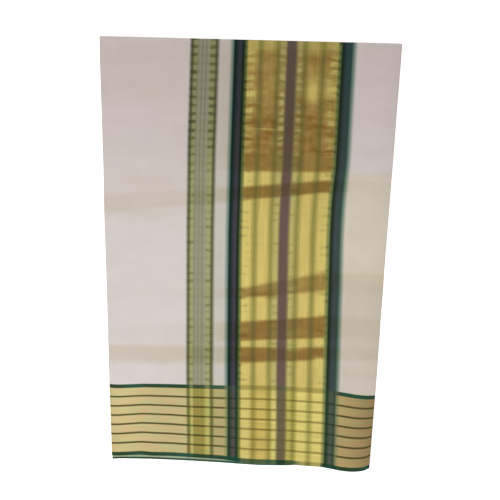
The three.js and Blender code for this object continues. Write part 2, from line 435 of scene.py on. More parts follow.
def bow(x, y):
    """How far the stripes are pulled aside at a point of the face."""
    heights, *columns = np.array(BOWS).T
    total = np.zeros_like(x)
    for aside in BOW_EASE:
        shifts = [np.interp(y + aside, heights, column) for column in columns]
        total += shifts[0]
        for k in (1, 2, 3):
            share = np.clip((x - BOW_X[k - 1]) / (BOW_X[k] - BOW_X[k - 1]), 0.0, 1.0)
            total += (shifts[k] - shifts[k - 1]) * share
    return total / len(BOW_EASE)


def from_edge(x, y, selvedge):
    """The distance from the selvedge, counted on the cloth."""
    hem = hem_line(x, selvedge)
    line = np.interp(x, TOP_LINE["x"], TOP_LINE["y"])
    share = np.clip((y - hem) / (line - hem), 0.0, 1.0)
    near = np.clip(1.0 - np.abs(x - RIDGE_PULL["x"]) / RIDGE_PULL["reach"], 0.0, 1.0)
    below = (y - hem) / (line - hem) * TOP_LINE_FROM_EDGE
    below = below - RIDGE_PULL["pull"] * near * np.sin(np.pi * share)
    return np.where(y < line, below, TOP_LINE_FROM_EDGE + y - line)


print("bow at the half fold:", bow(np.array(BOW_X), np.full(len(BOW_X), 300.0)).round(2))

# %% Painted shade in the creases, and painted highlight patches
# middle place, half sizes, and how much painted shade is taken away there as a painted highlight,
# or added if under 0
SHADE_AND_HIGHLIGHT_PATCHES = [
    (84, 238, 9, 15, 0.86),
    (106, 240, 9, 13, 0.50),
    (88, 298, 30, 6, 0.70),
    (20, 296, 30, 5, 0.55),
    (-2, 290, 8, 14, 0.30),
    (2, 232, 9, 5, 0.45),
    (110, 203, 9, 8, 0.40),
    (0, 186, 9, 3, 0.35),
    (10, 91, 22, 4, 0.35),
    (22, -52, 30, 3, 0.25),
    (70, -97, 24, 6, 0.22),
    (2, -92, 9, 8, 0.12),
    (78, -26, 12, 6, 0.12),
    (84, 160, 12, 22, 0.10),
    (-2, 160, 9, 24, -0.16),
    (22, -165, 14, 14, -0.10),
    (105, -165, 12, 14, -0.12),
    (-160, 68, 80, 11, -0.30),
    (-150, 106, 80, 13, -0.15),
    (-38, 0, 7, 70, -0.22),
    (58, -28, 6, 9, 0.28),
    (51, -113, 34, 5, 0.60),
    (69, -121, 16, 4, 0.45),
    (108, -136, 9, 4, 0.70),
    (38, -46, 11, 5, -0.55),
    (18, -43, 10, 3, -0.40),
    (66, -34, 7, 4, 0.35),
]
TONE_BLUR = (7.0, 5.0, 3.4, 3.4, 5.0)  # how soft the ends of the painted shade bands are, at TONE_X
BESIDE_GOLD = 0.3  # share of the gold's painted shade just left of the gold


def painted_crease_shade(x, y):
    """Painted shade, from 0 where the cloth catches the light to 1 in the depth of a crease."""
    blur = np.interp(x, TONE_X, TONE_BLUR)
    below = [
        smooth(0.5 + (line - y) / (blur * row[BEND])) for line, row in zip(crease_lines(x), CREASES)
    ]
    below.append(np.zeros_like(x))
    total = np.zeros_like(x)
    for row, upper, lower in zip(CREASES, below, below[1:]):
        left, gold, right = row[TONES:]
        beside = left * (1.0 - BESIDE_GOLD) + gold * BESIDE_GOLD
        total += np.interp(x, TONE_X, (left, beside, gold, gold, right)) * (upper - lower)
    for middle_x, middle_y, across, along, gain in SHADE_AND_HIGHLIGHT_PATCHES:
        total -= gain * np.exp(-(((x - middle_x) / across) ** 2) - ((y - middle_y) / along) ** 2)
    return np.clip(total, 0.0, 1.0)


down = np.array([250.0, 115.0, 98.0, 20.0, -41.0, -100.0])
print("dullness down the gold:", painted_crease_shade(np.full(len(down), 20.0), down).round(2))

# %% [markdown]
# ## The front ply of the top leaf
#
# This is the face of the folded saree: one layer of cloth that turns over the half fold and goes
# round the stack at both sides. It could be a plane with a bump texture, but cloth shows its
# thickness and its rounded folds at every edge. So a flat grid is added, as fine as the folds
# need, each of its points is carried to its place on the folded stack, and Solidify gives the
# cloth its thickness. Grid rows follow the creases, which keeps them crisp.

# %% Rows and columns of the grid
CLOTH_THICKNESS = 0.40
ROW_STEP = 2.9  # between rows where nothing bends
ROWS_AT_CREASE = (-2.6, -1.2, 0.0, 1.2, 2.6)
LEAST_ROW_GAP = 0.45
COLUMN_COUNT = 118
BUNCHED = 0.28  # share of the columns' spacing that is closer at the sides
FLAT_AT_TURN = 12.0  # how near a turn the unevenness starts to fade
TURN_STEPS = 9
FOLD_STEPS = 8
# levels of the hem, of each crease and of the half fold
KNOTS = [HEM_LEVEL] + [float(row[1]) for row in CREASES][::-1] + [HALF_FOLD_Y - LEAF_HALF]


def level_list(step, near):
    """Row levels, as their y on the centre line, with extra ones at each crease."""
    count = int((KNOTS[-1] - KNOTS[0]) / step)
    levels = set(np.linspace(KNOTS[0], KNOTS[-1], count + 1).round(3))
    for knot in KNOTS[1:-1]:
        levels |= {round(knot + aside, 3) for aside in near}
    kept = []
    for level in sorted(levels):
        if not kept or level - kept[-1] > LEAST_ROW_GAP:
            kept.append(level)
    return np.array(kept)


def row_y(level, x, selvedge):
    """The y of a row at each x. Between two creases a row keeps its share of the way."""
    places = [hem_line(x, selvedge), *crease_lines(x)[::-1], np.full_like(x, KNOTS[-1])]
    k = int(np.clip(np.searchsorted(KNOTS, level, side="right") - 1, 0, len(KNOTS) - 2))
    share = (level - KNOTS[k]) / (KNOTS[k + 1] - KNOTS[k])
    return places[k] + (places[k + 1] - places[k]) * share


def edge_tilt(slope):
    """The angle at which the eased face meets its turn."""
    return math.atan2(2.0 * slope["drop"], slope["width"])


def leaf_columns():
    """Columns from the end of the left turn over the face to the end of the right turn."""
    even = np.linspace(0.0, 1.0, COLUMN_COUNT + 1)
    shares = (1.0 - BUNCHED) * even + BUNCHED * (1.0 - np.cos(np.pi * even)) / 2.0
    turns = np.arange(1, TURN_STEPS + 1) / TURN_STEPS
    flat = np.zeros(COLUMN_COUNT + 1)
    side = np.concatenate([np.full(TURN_STEPS, -1), flat, np.full(TURN_STEPS, 1)])
    share = np.concatenate([np.zeros(TURN_STEPS), shares, np.ones(TURN_STEPS)])
    turn = np.concatenate([turns[::-1], flat, turns])
    return side, share, turn


def leaf_grid(levels, selvedge, outer_height, fold_centre, fold_radius, folded):
    """Points, weave coordinates and painted crease shade of one ply of the top leaf, row by row."""
    side, share, turn = leaf_columns()
    points, weave, crease_shade = [], [], []
    rows = [(level, outer_height, 0.0, 0.0) for level in levels]
    if folded:
        for step in range(1, FOLD_STEPS + 1):
            angle = math.pi * step / FOLD_STEPS
            height = fold_centre + fold_radius * math.cos(angle)
            rows.append((levels[-1], height, fold_radius * math.sin(angle), fold_radius * angle))
    for level, height, past, arc in rows:
        reach = half_width(level) - TURN_REACH
        face_x = -reach + 2.0 * reach * share
        y = row_y(level, face_x, selvedge)
        top_z = STACK_HEIGHT + lift(face_x, y) + ease(face_x, reach)
        fade = np.minimum(1.0, (reach - np.abs(face_x)) / FLAT_AT_TURN)
        top_z += ripples(face_x, y) + unevenness(face_x, y) * fade
        middle = top_z - LEAF_HALF
        tilt = np.where(side < 0, edge_tilt(LEFT_EASE), edge_tilt(RIGHT_EASE))
        angle = tilt + (np.pi - tilt) * turn
        centre_x = face_x - side * TURN_RADIUS * np.sin(tilt)
        centre_z = middle - TURN_RADIUS * np.cos(tilt)
        turned = side != 0
        x = np.where(turned, centre_x + side * (TURN_RADIUS + height) * np.sin(angle), face_x)
        z = np.where(turned, centre_z + (TURN_RADIUS + height) * np.cos(angle), middle + height)
        points.append(np.column_stack([x, y + past, z]))
        round_turn = side * (TURN_RADIUS + outer_height) * (angle - tilt) * turned
        along = face_x - bow(face_x, y) + round_turn
        weave.append(np.column_stack([along, from_edge(face_x, y, selvedge) + arc]))
        crease_shade.append(painted_crease_shade(face_x, y))
    return np.stack(points), np.stack(weave), np.stack(crease_shade)


levels = level_list(ROW_STEP, ROWS_AT_CREASE)
print(len(levels), "rows,", COLUMN_COUNT + 1 + 2 * TURN_STEPS, "columns")


# %% A flat grid, folded into place
SMOOTH_UNDER = 50.0  # degrees between two faces


def cloth_piece(name, points, weave, crease_shade, thickness, outwards):
    """A grid primitive whose points are moved to their places, with thickness."""
    row_count, column_count = points.shape[:2]
    bpy.ops.object.select_all(action="DESELECT")
    bpy.ops.mesh.primitive_grid_add(
        x_subdivisions=column_count - 1, y_subdivisions=row_count - 1, size=1.0
    )
    piece = bpy.context.object
    piece.name = piece.data.name = name
    mesh = piece.data
    flat = np.zeros(len(mesh.vertices) * 3, np.float32)
    mesh.vertices.foreach_get("co", flat)
    flat = flat.reshape(-1, 3)
    column = np.rint((flat[:, 0] + 0.5) * (column_count - 1)).astype(int)
    row = np.rint((flat[:, 1] + 0.5) * (row_count - 1)).astype(int)
    placed = points[row, column] * MM
    mesh.vertices.foreach_set("co", placed.astype(np.float32).ravel())

    # painted crease shade, stored on the points for the material
    painted_shade = mesh.attributes.new("painted_crease_shade", "FLOAT", "POINT")
    painted_shade.data.foreach_set("value", crease_shade[row, column].astype(np.float32))

    corner_vertex = np.zeros(len(mesh.loops), np.int32)
    mesh.loops.foreach_get("vertex_index", corner_vertex)
    layer = mesh.uv_layers[0]
    layer.name = "weave"
    on_cloth = (weave[row, column] * MM)[corner_vertex]
    layer.data.foreach_set("uv", on_cloth.astype(np.float32).ravel())
    mesh.update()

    solidify = piece.modifiers.new("thickness", "SOLIDIFY")
    solidify.thickness = thickness * MM
    solidify.offset = outwards
    bpy.ops.object.modifier_apply(modifier=solidify.name)
    bpy.ops.object.shade_smooth_by_angle(angle=math.radians(SMOOTH_UNDER))
    print(name, sum(len(face.vertices) - 2 for face in mesh.polygons), "triangles")
    return piece


FRONT_TOP = LEAF_HALF
PLY_PITCH = 0.70  # from the outer side of the front ply to that of the back ply
LEAF_FOLD_RADIUS = 0.55
front = cloth_piece(
    "pallu_front_cloth",
    *leaf_grid(levels, "front", FRONT_TOP, FRONT_TOP - LEAF_FOLD_RADIUS, LEAF_FOLD_RADIUS, True),
    CLOTH_THICKNESS,
    -1.0,
)

# %% [markdown]
# ## The back ply of the top leaf
#
# Behind the front ply lies the other half of the width. It shows only at the bottom left, where
# its selvedge hangs a few millimetres lower. It is made in the same way, with fewer rows.

# %% The back ply
BACK_SHIFT = 3.1  # how much narrower the green line on the second selvedge is
BACK_ROW_STEP = 8.0
BACK_ROWS_AT_CREASE = (-2.6, 0.0, 2.6)
back_levels = level_list(BACK_ROW_STEP, BACK_ROWS_AT_CREASE)
back_points, back_weave, back_crease_shade = leaf_grid(
    back_levels, "back", FRONT_TOP - PLY_PITCH, 0.0, 0.0, False
)
back_weave[..., 1] += BACK_SHIFT
back = cloth_piece("pallu_back_cloth", back_points, back_weave, back_crease_shade, CLOTH_THICKNESS, -1.0)

# %% [markdown]
# ## The thirteen leaves underneath
#
# The rest of the saree is the same cloth, five metres of it, folded in half and then to and fro.
# From the side its rounded folds show, from the bottom its selvedges. A block with lines drawn
# on it would do from far away. Here the cloth is really folded: a hairpin, the cloth's half
# fold seen from its end, is swept along a path that goes to and fro, and each leaf ends at a
# slightly different place, as hand-folded ones do.

# %% The path that goes to and fro
HIDDEN_LEAVES = 13
FIRST_DEPTH = 1.9  # middle of the first hidden leaf, below the top of the stack
PLY_OFFSET = 0.30  # from a leaf's middle to the middle of each ply
PLY_THICKNESS = 0.34
LEAF_OUTER = PLY_OFFSET + PLY_THICKNESS / 2.0
ABOVE_TABLE = 0.03
LEAF_PITCH = (STACK_HEIGHT - LEAF_OUTER - ABOVE_TABLE - FIRST_DEPTH) / (HIDDEN_LEAVES - 1)
PATH_RADIUS = LEAF_PITCH / 2.0
PATH_COLUMNS = 20
PATH_TURN_STEPS = 8
SIDE_SETTLE = {"inside_turn": 1.5, "beside_turn_end": 3.3, "free": 1.6}
TURNS_BESIDE = (2, 3, 4)  # the turns that lie beside the ends of the top leaf
SIDE_UNEVEN = {"reach": 0.8, "rate": 1.9}


def turn_reach(number):
    """How far out the turn after this leaf comes. It is measured at the selvedges."""
    if number == 1:
        return BOTTOM_HALF_WIDTH - SIDE_SETTLE["inside_turn"]
    if number in TURNS_BESIDE:
        return BOTTOM_HALF_WIDTH - SIDE_SETTLE["beside_turn_end"]
    uneven = SIDE_UNEVEN["reach"] * math.sin(SIDE_UNEVEN["rate"] * number)
    return BOTTOM_HALF_WIDTH - SIDE_SETTLE["free"] + uneven


def zigzag():
    """Places, depths and normals of the path, and how far along the cloth each one is."""
    places, normals = [], []
    shares = (1.0 - np.cos(np.pi * np.arange(PATH_COLUMNS + 1) / PATH_COLUMNS)) / 2.0
    for number in range(1, HIDDEN_LEAVES + 1):
        side = 1 if number % 2 == 0 else -1  # the side where this leaf turns into the next one
        depth = FIRST_DEPTH + LEAF_PITCH * (number - 1)
        start = -side * (turn_reach(number - 1) - PATH_RADIUS - LEAF_OUTER)
        end = side * (turn_reach(number) - PATH_RADIUS - LEAF_OUTER)
        for share in shares:
            places.append((start + (end - start) * share, depth))
            normals.append((0.0, side))
        if number == HIDDEN_LEAVES:
            break
        for step in range(1, PATH_TURN_STEPS):
            angle = math.pi * step / PATH_TURN_STEPS
            turned_depth = depth + PATH_RADIUS * (1 - math.cos(angle))
            places.append((end + side * PATH_RADIUS * math.sin(angle), turned_depth))
            normals.append((math.sin(angle), side * math.cos(angle)))
    places, normals = np.array(places), np.array(normals)
    run = np.concatenate([[0.0], np.cumsum(np.linalg.norm(np.diff(places, axis=0), axis=1))])
    return places, normals, run


path, path_normals, path_run = zigzag()
print("path of", len(path), "stations and", round(path_run[-1] / 1000, 2), "m of cloth")

# %% The hairpin that is swept along it
HALF_FOLD_SETTLE = 1.4
SELVEDGE_SETTLE = 2.3
# height of a wave along the path, its length and where it starts
HALF_FOLD_WAVES = ((0.55, 131.0, 0.0), (0.35, 57.0, 1.0))
FRONT_HEM_WAVES = ((1.1, 93.0, 0.6), (0.5, 29.0, 0.0))
BACK_HEM_WAVES = ((1.1, 101.0, 2.6), (0.5, 33.0, 0.0))
END_FADE = 6  # the power by which a settled end fades into the leaf
HAIRPIN_STEPS = 6
HIDDEN_ROW_STEP = 40.0
HIDDEN_START = 260.0  # the plain body of the saree begins past the pallu's stripes


def settled(depth, waves):
    """How far one end of the leaves has settled, all along the path."""
    rises = [height * np.sin(path_run / length + start) for height, length, start in waves]
    return depth + sum(rises)


def hidden_grid():
    """Every row of the hairpin, carried along the path."""
    levels = level_list(HIDDEN_ROW_STEP, (0.0,))
    hairpin = [(level, 1.0, 0.0, 0.0) for level in levels]
    for step in range(1, HAIRPIN_STEPS):
        angle = math.pi * step / HAIRPIN_STEPS
        past = PLY_OFFSET * math.sin(angle)
        hairpin.append((levels[-1], math.cos(angle), past, angle * PLY_OFFSET))
    hairpin += [(level, -1.0, 0.0, math.pi * PLY_OFFSET) for level in levels[::-1]]

    settle = settled(HALF_FOLD_SETTLE, HALF_FOLD_WAVES)
    hem_front = settled(SELVEDGE_SETTLE, FRONT_HEM_WAVES)
    hem_back = settled(SELVEDGE_SETTLE, BACK_HEM_WAVES)
    points, weave = [], []
    for level, ply, past, arc in hairpin:
        offset = PLY_OFFSET * ply
        nominal_x = path[:, 0] + path_normals[:, 0] * offset
        depth = path[:, 1] - path_normals[:, 1] * offset
        x = nominal_x * half_width(level) / BOTTOM_HALF_WIDTH
        reach = half_width(level) - TURN_REACH
        face_x = np.clip(x, -reach, reach)
        y = row_y(level, face_x, "back")
        share = (level - levels[0]) / (levels[-1] - levels[0])
        hem = hem_front if ply > 0 else hem_back
        y = y + hem * (1 - share) ** END_FADE - settle * share**END_FADE
        height = STACK_HEIGHT + lift(face_x, y) + ease(face_x, reach)
        z = height * (1.0 - depth / STACK_HEIGHT)
        points.append(np.column_stack([x, y + past, z]))
        edge = from_edge(face_x, y, "back") - hem * (1 - share) ** END_FADE
        weave.append(np.column_stack([HIDDEN_START + path_run, edge + arc]))
    points, weave = np.stack(points), np.stack(weave)
    return points, weave, np.zeros(points.shape[:2])


leaves = cloth_piece("folded_leaves_cloth", *hidden_grid(), PLY_THICKNESS, 0.0)

# %% [markdown]
# ## The woven pattern
#
# The pallu's stripes are bands of coloured and metal-wrapped thread. `STRIPES` lists them from
# left to right with where each begins, how soft its beginning is, its yarns, how much zari it
# holds in the cloth and where it crosses the border, how strongly the border's thin lines show
# on it, and how much of it is broken up as a ladder. One colour ramp could not hold them all, so
# they go into three, side by side. An image of the stripes would be quicker to make, but it
# would blur close up, while this stays sharp at any size.

# %% Colours of the yarns
# colour in the cloth, colour where it crosses the border
YARNS = {
    "cream_end": ((224, 215, 211), (214, 197, 144)),
    "cream": ((224, 215, 211), (202, 188, 136)),
    "ladder_dark": ((100, 102, 66), (112, 108, 50)),
    "ladder_light": ((170, 172, 122), (186, 180, 104)),
    "rib_dark": ((148, 147, 122), (149, 138, 66)),
    "rib_light": ((162, 160, 136), (164, 150, 76)),
    "cream_gap": ((210, 204, 195), (185, 171, 117)),
    "fade_green": ((123, 148, 137), (150, 152, 108)),
    "dark_green": ((2, 42, 36), (28, 60, 34)),
    "slate_mauve": ((70, 64, 74), (85, 81, 80)),
    "leaf_green": ((26, 44, 22), (28, 60, 34)),
    "hairline": ((112, 126, 68), (116, 121, 58)),
    "gold": ((187, 172, 95), (186, 173, 98)),
    "gold_warm_left": ((186, 167, 93), (186, 173, 98)),
    "olive": ((142, 136, 66), (146, 135, 58)),
    "gold_warm": ((186, 167, 93), (178, 159, 82)),
    "pale_gold": ((172, 162, 97), (186, 173, 98)),
    "mauve": ((109, 90, 79), (111, 100, 71)),
    "pale_gold_dim": ((172, 162, 97), (166, 155, 78)),
    "gold_warm_right": ((186, 167, 93), (193, 180, 100)),
    "olive_faint": ((142, 136, 66), (158, 148, 72)),
    "gold_right": ((187, 172, 95), (193, 180, 100)),
    "hairline_pale": ((136, 148, 88), (142, 149, 90)),
    "slate_teal": ((63, 75, 78), (80, 91, 76)),
    "ink_green": ((56, 80, 73), (56, 78, 60)),
    "cream_right": ((224, 215, 211), (197, 177, 124)),
    "cream_turned": ((224, 215, 211), (166, 145, 104)),
}
print(len(YARNS), "pairs of colours")

# %% The stripes, from left to right
# begins at, softness, yarns, zari, zari in the border, lines, ladder
BEGINS, SOFTNESS, YARN, FACTS = 0, 1, 2, 3
STRIPES = [
    (-215.0, 0.4, "cream_end", 0.0, 0.45, 0.95, 0.0),
    (-140.0, 60.0, "cream", 0.0, 0.45, 0.95, 0.0),
    (-80.8, 3.6, "ladder_dark", 0.1, 0.3, 0.9, 0.75),
    (-76.4, 3.0, "ladder_light", 0.1, 0.6, 0.7, 1.0),
    (-71.4, 2.0, "rib_dark", 0.1, 0.5, 1.0, 0.1),
    (-68.6, 1.2, "rib_light", 0.1, 0.5, 1.0, 0.1),
    (-66.0, 1.2, "rib_dark", 0.1, 0.5, 1.0, 0.2),
    (-63.4, 1.2, "rib_light", 0.1, 0.5, 1.0, 0.1),
    (-60.8, 1.2, "rib_dark", 0.1, 0.5, 1.0, 0.2),
    (-58.2, 1.2, "rib_light", 0.1, 0.5, 1.0, 0.1),
    (-54.6, 2.6, "ladder_light", 0.1, 0.6, 0.7, 1.0),
    (-47.8, 2.8, "ladder_dark", 0.1, 0.3, 0.9, 0.35),
    (-43.0, 4.2, "cream_gap", 0.0, 0.45, 0.9, 0.0),
    (-26.7, 4.0, "fade_green", 0.0, 0.3, 0.6, 0.0),
    (-23.1, 2.4, "dark_green", 0.0, 0.1, 0.3, 0.0),
    (-17.4, 5.4, "slate_mauve", 0.0, 0.1, 0.3, 0.0),
    (-12.0, 2.8, "leaf_green", 0.0, 0.1, 0.3, 0.0),
    (-7.9, 2.6, "hairline", 0.1, 0.5, 0.6, 1.0),
    (-4.7, 3.2, "gold", 1.0, 1.0, 0.5, 0.9),
    (4.6, 4.0, "gold_warm_left", 1.0, 1.0, 0.5, 0.2),
    (9.4, 6.0, "olive", 0.8, 0.8, 0.6, 0.1),
    (17.0, 6.0, "gold_warm", 1.0, 1.0, 0.6, 0.05),
    (32.4, 6.0, "olive", 0.8, 0.8, 0.6, 0.1),
    (38.9, 4.6, "pale_gold", 0.9, 1.0, 0.5, 0.85),
    (47.0, 3.8, "mauve", 0.1, 0.1, 0.4, 0.0),
    (60.4, 4.8, "pale_gold_dim", 0.9, 1.0, 0.45, 0.75),
    (67.8, 4.6, "olive", 0.8, 0.8, 0.6, 0.1),
    (75.0, 6.0, "gold_warm_right", 1.0, 1.0, 0.45, 0.05),
    (90.6, 6.0, "olive_faint", 0.8, 0.8, 0.5, 0.1),
    (98.2, 6.0, "gold_warm_right", 1.0, 1.0, 0.45, 0.2),
    (104.0, 4.0, "gold_right", 1.0, 1.0, 0.45, 0.8),
    (113.8, 3.4, "hairline_pale", 0.1, 0.5, 0.6, 1.0),
    (117.5, 3.0, "leaf_green", 0.0, 0.1, 0.3, 0.0),
    (122.6, 5.0, "slate_teal", 0.0, 0.1, 0.3, 0.0),
    (129.0, 3.0, "ink_green", 0.0, 0.1, 0.3, 0.0),
    (133.0, 3.4, "fade_green", 0.0, 0.3, 0.8, 0.0),
    (137.0, 4.4, "cream_right", 0.0, 0.4, 0.95, 0.0),
    # where the border turns down at the right end it is painted darker: painted shade
    (166.0, 44.0, "cream_turned", 0.0, 0.4, 0.95, 0.0),
]
RAMP_CUTS = (-215.0, -33.0, 54.0, 215.0)
print(len(STRIPES), "stripes and grounds")


# %% Ramps made from the table
def ramp_stops(low, high, pick):
    """Stops of the stripes between two places: two for each boundary, and the two ends."""
    stops = [(low, pick([row for row in STRIPES if row[BEGINS] <= low][-1]))]
    for last, row in zip(STRIPES, STRIPES[1:]):
        if low < row[BEGINS] < high:
            stops.append((row[BEGINS] - row[SOFTNESS] / 2, pick(last)))
            stops.append((row[BEGINS] + row[SOFTNESS] / 2, pick(row)))
    stops.append((high, stops[-1][1]))
    return stops


def add_ramp(shader, place, low, high, pick):
    """A colour ramp over one stretch of the stripes, with its colours from the table."""
    share = (place - low) / (high - low)
    wire = shader.add("ValToRGB", None, {0: share})
    elements = wire.socket.node.color_ramp.elements
    stops = ramp_stops(low, high, pick)
    for number, (at, colour) in enumerate(stops):
        position = (at - low) / (high - low)
        if number < 2:
            element = elements[number]
            element.position = position
        else:
            element = elements.new(position)
        element.color = colour
    return wire


def striped(shader, place, pick):
    """All three stretches of the table, put together."""
    parts = [
        add_ramp(shader, place, low, high, pick) for low, high in zip(RAMP_CUTS, RAMP_CUTS[1:])
    ]
    alphas = [Wire(shader, part.socket.node.outputs["Alpha"]) for part in parts]
    past_first = place.math("GREATER_THAN", RAMP_CUTS[1])
    past_second = place.math("GREATER_THAN", RAMP_CUTS[2])
    colour = shader.mix(past_second, shader.mix(past_first, parts[0], parts[1]), parts[2])
    alpha = alphas[0] * (1 - past_first) + alphas[1] * (past_first - past_second)
    return colour, alpha + alphas[2] * past_second


print("stops of the first ramp:", len(ramp_stops(*RAMP_CUTS[:2], lambda row: row[FACTS:])))

# %% [markdown]
# ## The border
#
# Along each selvedge runs a border of zari, ruled with thin green lines between two broad ones.
# The lines are woven, so they are masks on the distance from the selvedge. Gold and green are
# the traditional colours of this kind of cloth.

# %% Lines of the border
THIN_LINES = (20.2, 35.0, 49.8, 64.4, 79.0, 93.6)
THIN_LINE_WIDTH = 2.9
BROAD_LINES = ((2.9, 6.2), (TOP_LINE_FROM_EDGE, 5.8))  # middle, width
LINE_SOFTNESS = 1.2
BORDER_TOP, BORDER_TOP_SOFTNESS = 112.4, 1.0
LINE_GREEN = srgb(76, 78, 32)
LINE_ON_ZARI = srgb(118, 103, 30)
LINE_ON_DARK = srgb(24, 46, 30)
BROAD_GREEN = srgb(22, 62, 38)
BROAD_TEAL = srgb(12, 80, 64)


def border_masks(edge):
    """Masks of the thin lines, of the two broad ones and of the whole border."""
    thin = sum(edge.band(middle, THIN_LINE_WIDTH, LINE_SOFTNESS) for middle in THIN_LINES)
    broad = [edge.band(middle, width, LINE_SOFTNESS) for middle, width in BROAD_LINES]
    half = BORDER_TOP_SOFTNESS / 2
    inside = edge.step(BORDER_TOP - half, BORDER_TOP + half, 1.0, 0.0)
    return (thin, *broad), inside


print(len(THIN_LINES), "thin lines,", len(BROAD_LINES), "broad ones")

# %% [markdown]
# ## The finish of the cloth
#
# Handloom cotton is matt, with a faint nap, and its threads are never quite even: thicker ones
# run as pale streaks both ways. Zari is cotton or silk wrapped with flattened metal. It shines
# along the thread, and where the cloth is creased it gets painted shade and looks brown; painted
# glints and a painted highlight line lighten it again. The pattern is worked out in millimetres
# from the `weave` coordinates, and the painted crease shade that was stored on the points darkens
# the gold and warms the cream in the creases. Towards the half fold the cloth gets painted shade,
# and its right end painted light.

# %% Uneven threads
# size across the stripes, length along them, seed, detail
UNEVEN = {
    "teal": (24.0, 40.0, 31.0, 2.0),
    "wander": (24.0, 31.0, 2.0, 2.0),
    "gate": (26.0, 13.0, 21.0, 2.0),
    "mottle": (19.0, 12.0, 17.0, 1.0),
    "border_hue": (30.0, 7.0, 37.0, 2.0),
    "fine_zari": (1.3, 60.0, 0.0, 2.0),
    "fine_border": (1.5, 60.0, 3.0, 2.0),
    "slub_along": (1.8, 90.0, 5.0, 2.0),
    "slub_across": (1.6, 70.0, 8.0, 2.0),
    "patches": (38.0, 22.0, 11.0, 2.0),
    "haze": (70.0, 30.0, 27.0, 1.0),
    "copper": (8.0, 40.0, 41.0, 1.0),
}
NOISE_ROUGHNESS = 0.55


def streaks(across, along, name):
    """Uneven threads: noise that is narrow one way and long the other, about zero."""
    size, length, seed, detail = UNEVEN[name]
    place = {0: across / size, 1: along / length, 2: seed}
    inputs = {"Scale": 1.0, "Detail": detail, "Roughness": NOISE_ROUGHNESS}
    inputs["Vector"] = along.shader.add("CombineXYZ", None, place)
    return along.shader.add("TexNoise", {"noise_dimensions": "3D"}, inputs) - 0.5


print("kinds of unevenness:", len(UNEVEN))

# %% Green lines, and ladders of floats and ties
DARK_STRIPES = (0.30, 0.42)  # by how little the border's lines show on them
MORE_ON_DARK = 0.35
SUNK_LINE, SUNK_SHARE = (TOP_LINE_FROM_EDGE, 7.5, 3.5), 0.55  # middle, width, softness
TOP_LINE_GAIN, TOP_LINE_LOSS, TOP_LOST_IN_ZARI = 1.2, 0.14, 0.92
LOW_LOST_FROM, LOW_LOST_RIGHT, LOW_LOST_LEFT = (68.0, 90.0), 0.55, 0.15
BROAD_COVER = 0.97
TEAL_RANGE = (-0.06, 0.10)
LADDER_PITCH, LADDER_TIE, TIE_SOFTNESS = 11.0, 4.6, 2.4
LADDER_WANDER = 8.0
GATE_RANGE = (-0.10, 0.10)
COTTON_TIE = {"upper": 0.40, "gated": 0.45, "always": 0.10}
ZARI_TIE = {"share": 0.42, "less_above": 0.6}
# painted glints: painted highlights on the ladders' floats
GLINT = {"gated": 0.85, "always": 0.15}


def ruled(shader, along, edge, colour, zari_body, line_share, lines):
    """The stripes with the border's lines over them, and how much the broad lines cover."""
    thin, broad_low, broad_high = lines
    on_dark = line_share.step(*DARK_STRIPES, 1.0, 0.0)
    line_colour = shader.mix(zari_body, LINE_GREEN, LINE_ON_ZARI)
    line_colour = shader.mix(on_dark, line_colour, LINE_ON_DARK)
    colour = shader.mix(thin * (line_share + on_dark * MORE_ON_DARK), colour, line_colour)
    # the upper broad line sinks into the zari, and the lower one where the gold is densest
    sunk = edge.band(*SUNK_LINE) * zari_body
    colour = shader.mix(sunk * SUNK_SHARE, colour, LINE_ON_ZARI)
    over = (line_share * TOP_LINE_GAIN - TOP_LINE_LOSS).math("MINIMUM", 1.0)
    top_share = (1 - zari_body * TOP_LOST_IN_ZARI) * over
    low_lost = along.step(*LOW_LOST_FROM) * LOW_LOST_RIGHT + LOW_LOST_LEFT
    broad = broad_low * (1 - zari_body * low_lost) + broad_high * top_share
    teal = streaks(along, edge, "teal").step(*TEAL_RANGE)
    cover = (broad * BROAD_COVER).math("MINIMUM", BROAD_COVER)
    return shader.mix(cover, colour, shader.mix(teal, BROAD_GREEN, BROAD_TEAL)), broad


def ladders(along, edge, bare, in_cotton, upper):
    """Where the ladders' dark ties are, and where painted glints, painted highlights, lie on their
    floats.
    """
    rung = edge + streaks(along, edge, "wander") * LADDER_WANDER
    phase = rung.math("PINGPONG", LADDER_PITCH / 2)
    thin, thick = (LADDER_TIE - TIE_SOFTNESS) / 2, (LADDER_TIE + TIE_SOFTNESS) / 2
    tie = phase.step(thin, thick, 1.0, 0.0)
    gate = streaks(along, edge, "gate").step(*GATE_RANGE)
    cotton = upper * COTTON_TIE["upper"] + gate * COTTON_TIE["gated"] + COTTON_TIE["always"]
    zari = gate * gate * (1 - upper * ZARI_TIE["less_above"]) * ZARI_TIE["share"]
    tie_share = tie * bare * (in_cotton * cotton + (1 - in_cotton) * zari)
    return tie_share, (1 - tie) * bare * upper * (gate * GLINT["gated"] + GLINT["always"])


print("a ladder's rungs are", LADDER_PITCH, "mm apart")

# %% Painted shade, painted highlights and painted light
# painted shade: the tints of the zari and the cream in their creases and dim parts, and a coppery
# hue in the zari's
ZARI_PAINTED_SHADE = (0.46, 0.31, 0.13)
COPPER_TINT = (1.07, 0.91, 0.98)
COPPER_RANGE = (-0.06, 0.16)
CREAM_PAINTED_SHADE = (0.82, 0.79, 0.63)
HAZE_SHARE, HAZE_LEAST = 0.35, 0.02
HIGHLIGHT_LINE = (476.0, 2.6, 1.8)  # a painted highlight line across the gold, from the selvedge: middle, width, softness
HIGHLIGHT_LINE_BEGINS, HIGHLIGHT_LINE_ENDS = (2.0, 14.0), (66.0, 74.0)
LIGHTENED_BY_HIGHLIGHTS = {"glint": 0.78, "pick": 0.4}
# painted shade on the zari, made patchy
SHADE_MOTTLE = {"creased": 0.7, "flat": 0.28, "above": 0.9, "below": 0.3}
